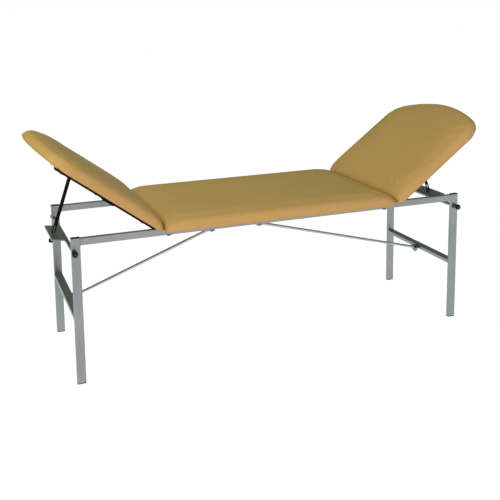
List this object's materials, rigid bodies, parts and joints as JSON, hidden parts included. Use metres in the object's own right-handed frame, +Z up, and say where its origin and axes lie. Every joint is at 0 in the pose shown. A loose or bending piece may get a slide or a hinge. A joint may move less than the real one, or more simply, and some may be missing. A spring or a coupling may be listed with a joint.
{
  "type": "examination table",
  "caption": "Padded three-section couch on a steel tube frame: the end sections hinge up on slotted struts that pass through tilting lock plates",
  "frame": {"origin": "on the floor, below the middle of the table", "axes": "+X along the table to the right end, +Y from the front side to the rear side, +Z up"},
  "size_m": [1.7354, 0.6, 0.8306],
  "materials": {
    "frame_paint": "satin",
    "black_paint": "satin",
    "black_plastic": "matte",
    "zinc_steel": "bright",
    "vinyl": "smooth",
    "plywood": "plain"
  },
  "bodies": {
    "frame": {"leg_front_left": "frame_paint", "leg_front_right": "frame_paint", "leg_rear_left": "frame_paint", "leg_rear_right": "frame_paint", "leg_caps": "black_plastic", "foot_plugs": "black_plastic", "side_rail_front": "frame_paint", "side_rail_rear": "frame_paint", "low_cross_bar_left": "frame_paint", "low_cross_bar_right": "frame_paint", "seat_cross_bar_left": "frame_paint", "seat_cross_bar_right": "frame_paint", "brace_left": "frame_paint", "brace_right": "frame_paint", "brace_lugs": "frame_paint", "brace_bolts": "zinc_steel", "seat_board": "plywood", "seat_pad": "vinyl", "seat_bolts": "zinc_steel", "hinge_pins_left": "zinc_steel", "hinge_pins_right": "zinc_steel", "hinge_washers_left": "zinc_steel", "hinge_washers_right": "zinc_steel", "hinge_clips_left": "zinc_steel", "hinge_clips_right": "zinc_steel"},
    "section_left": {"section_board_left": "plywood", "section_pad_left": "vinyl", "section_arm_front_left": "black_paint", "section_arm_rear_left": "black_paint", "section_strap_left": "black_paint", "section_screws_left": "zinc_steel", "strut_carrier_left": "black_paint", "strut_clevis_left": "black_paint", "strut_pin_left": "zinc_steel"},
    "strut_left": {"strut_left": "black_paint", "strut_knob_left": "black_plastic"},
    "lock_left": {"lock_tube_left": "frame_paint", "lock_plate_left": "frame_paint", "lock_axles_left": "zinc_steel", "lock_washers_left": "zinc_steel", "lock_knob_front_left": "black_plastic", "lock_knob_rear_left": "black_plastic"},
    "section_right": {"section_board_right": "plywood", "section_pad_right": "vinyl", "section_arm_front_right": "black_paint", "section_arm_rear_right": "black_paint", "section_strap_right": "black_paint", "section_screws_right": "zinc_steel", "strut_carrier_right": "black_paint", "strut_clevis_right": "black_paint", "strut_pin_right": "zinc_steel"},
    "strut_right": {"strut_right": "black_paint", "strut_knob_right": "black_plastic"},
    "lock_right": {"lock_tube_right": "frame_paint", "lock_plate_right": "frame_paint", "lock_axles_right": "zinc_steel", "lock_washers_right": "zinc_steel", "lock_knob_front_right": "black_plastic", "lock_knob_rear_right": "black_plastic"}
  },
  "joints": [
    {"name": "section_left_hinge", "type": "hinge", "parent": "frame", "child": "section_left", "pos_m": [-0.459, 0, 0.4975], "axis": [0, 1, 0], "range_deg": [-35.3, 1.5]},
    {"name": "strut_left_pivot", "type": "hinge", "parent": "section_left", "child": "strut_left", "pos_m": [-0.70739, 0, 0.6813], "axis": [0, 1, 0], "range_deg": [-1, 22]},
    {"name": "lock_left_tilt", "type": "hinge", "parent": "frame", "child": "lock_left", "pos_m": [-0.746, 0, 0.456], "axis": [0, 1, 0], "range_deg": [0, 10]},
    {"name": "section_right_hinge", "type": "hinge", "parent": "frame", "child": "section_right", "pos_m": [0.459, 0, 0.4975], "axis": [0, -1, 0], "range_deg": [-35.3, 1.5]},
    {"name": "strut_right_pivot", "type": "hinge", "parent": "section_right", "child": "strut_right", "pos_m": [0.70739, 0, 0.6813], "axis": [0, -1, 0], "range_deg": [-1, 22]},
    {"name": "lock_right_tilt", "type": "hinge", "parent": "frame", "child": "lock_right", "pos_m": [0.746, 0, 0.456], "axis": [0, -1, 0], "range_deg": [0, 10]}
  ],
  "couplings": [
    {"joint": "strut_left_pivot", "follows": "section_left_hinge", "ratio": -0.62},
    {"joint": "strut_right_pivot", "follows": "section_right_hinge", "ratio": -0.62}
  ]
}
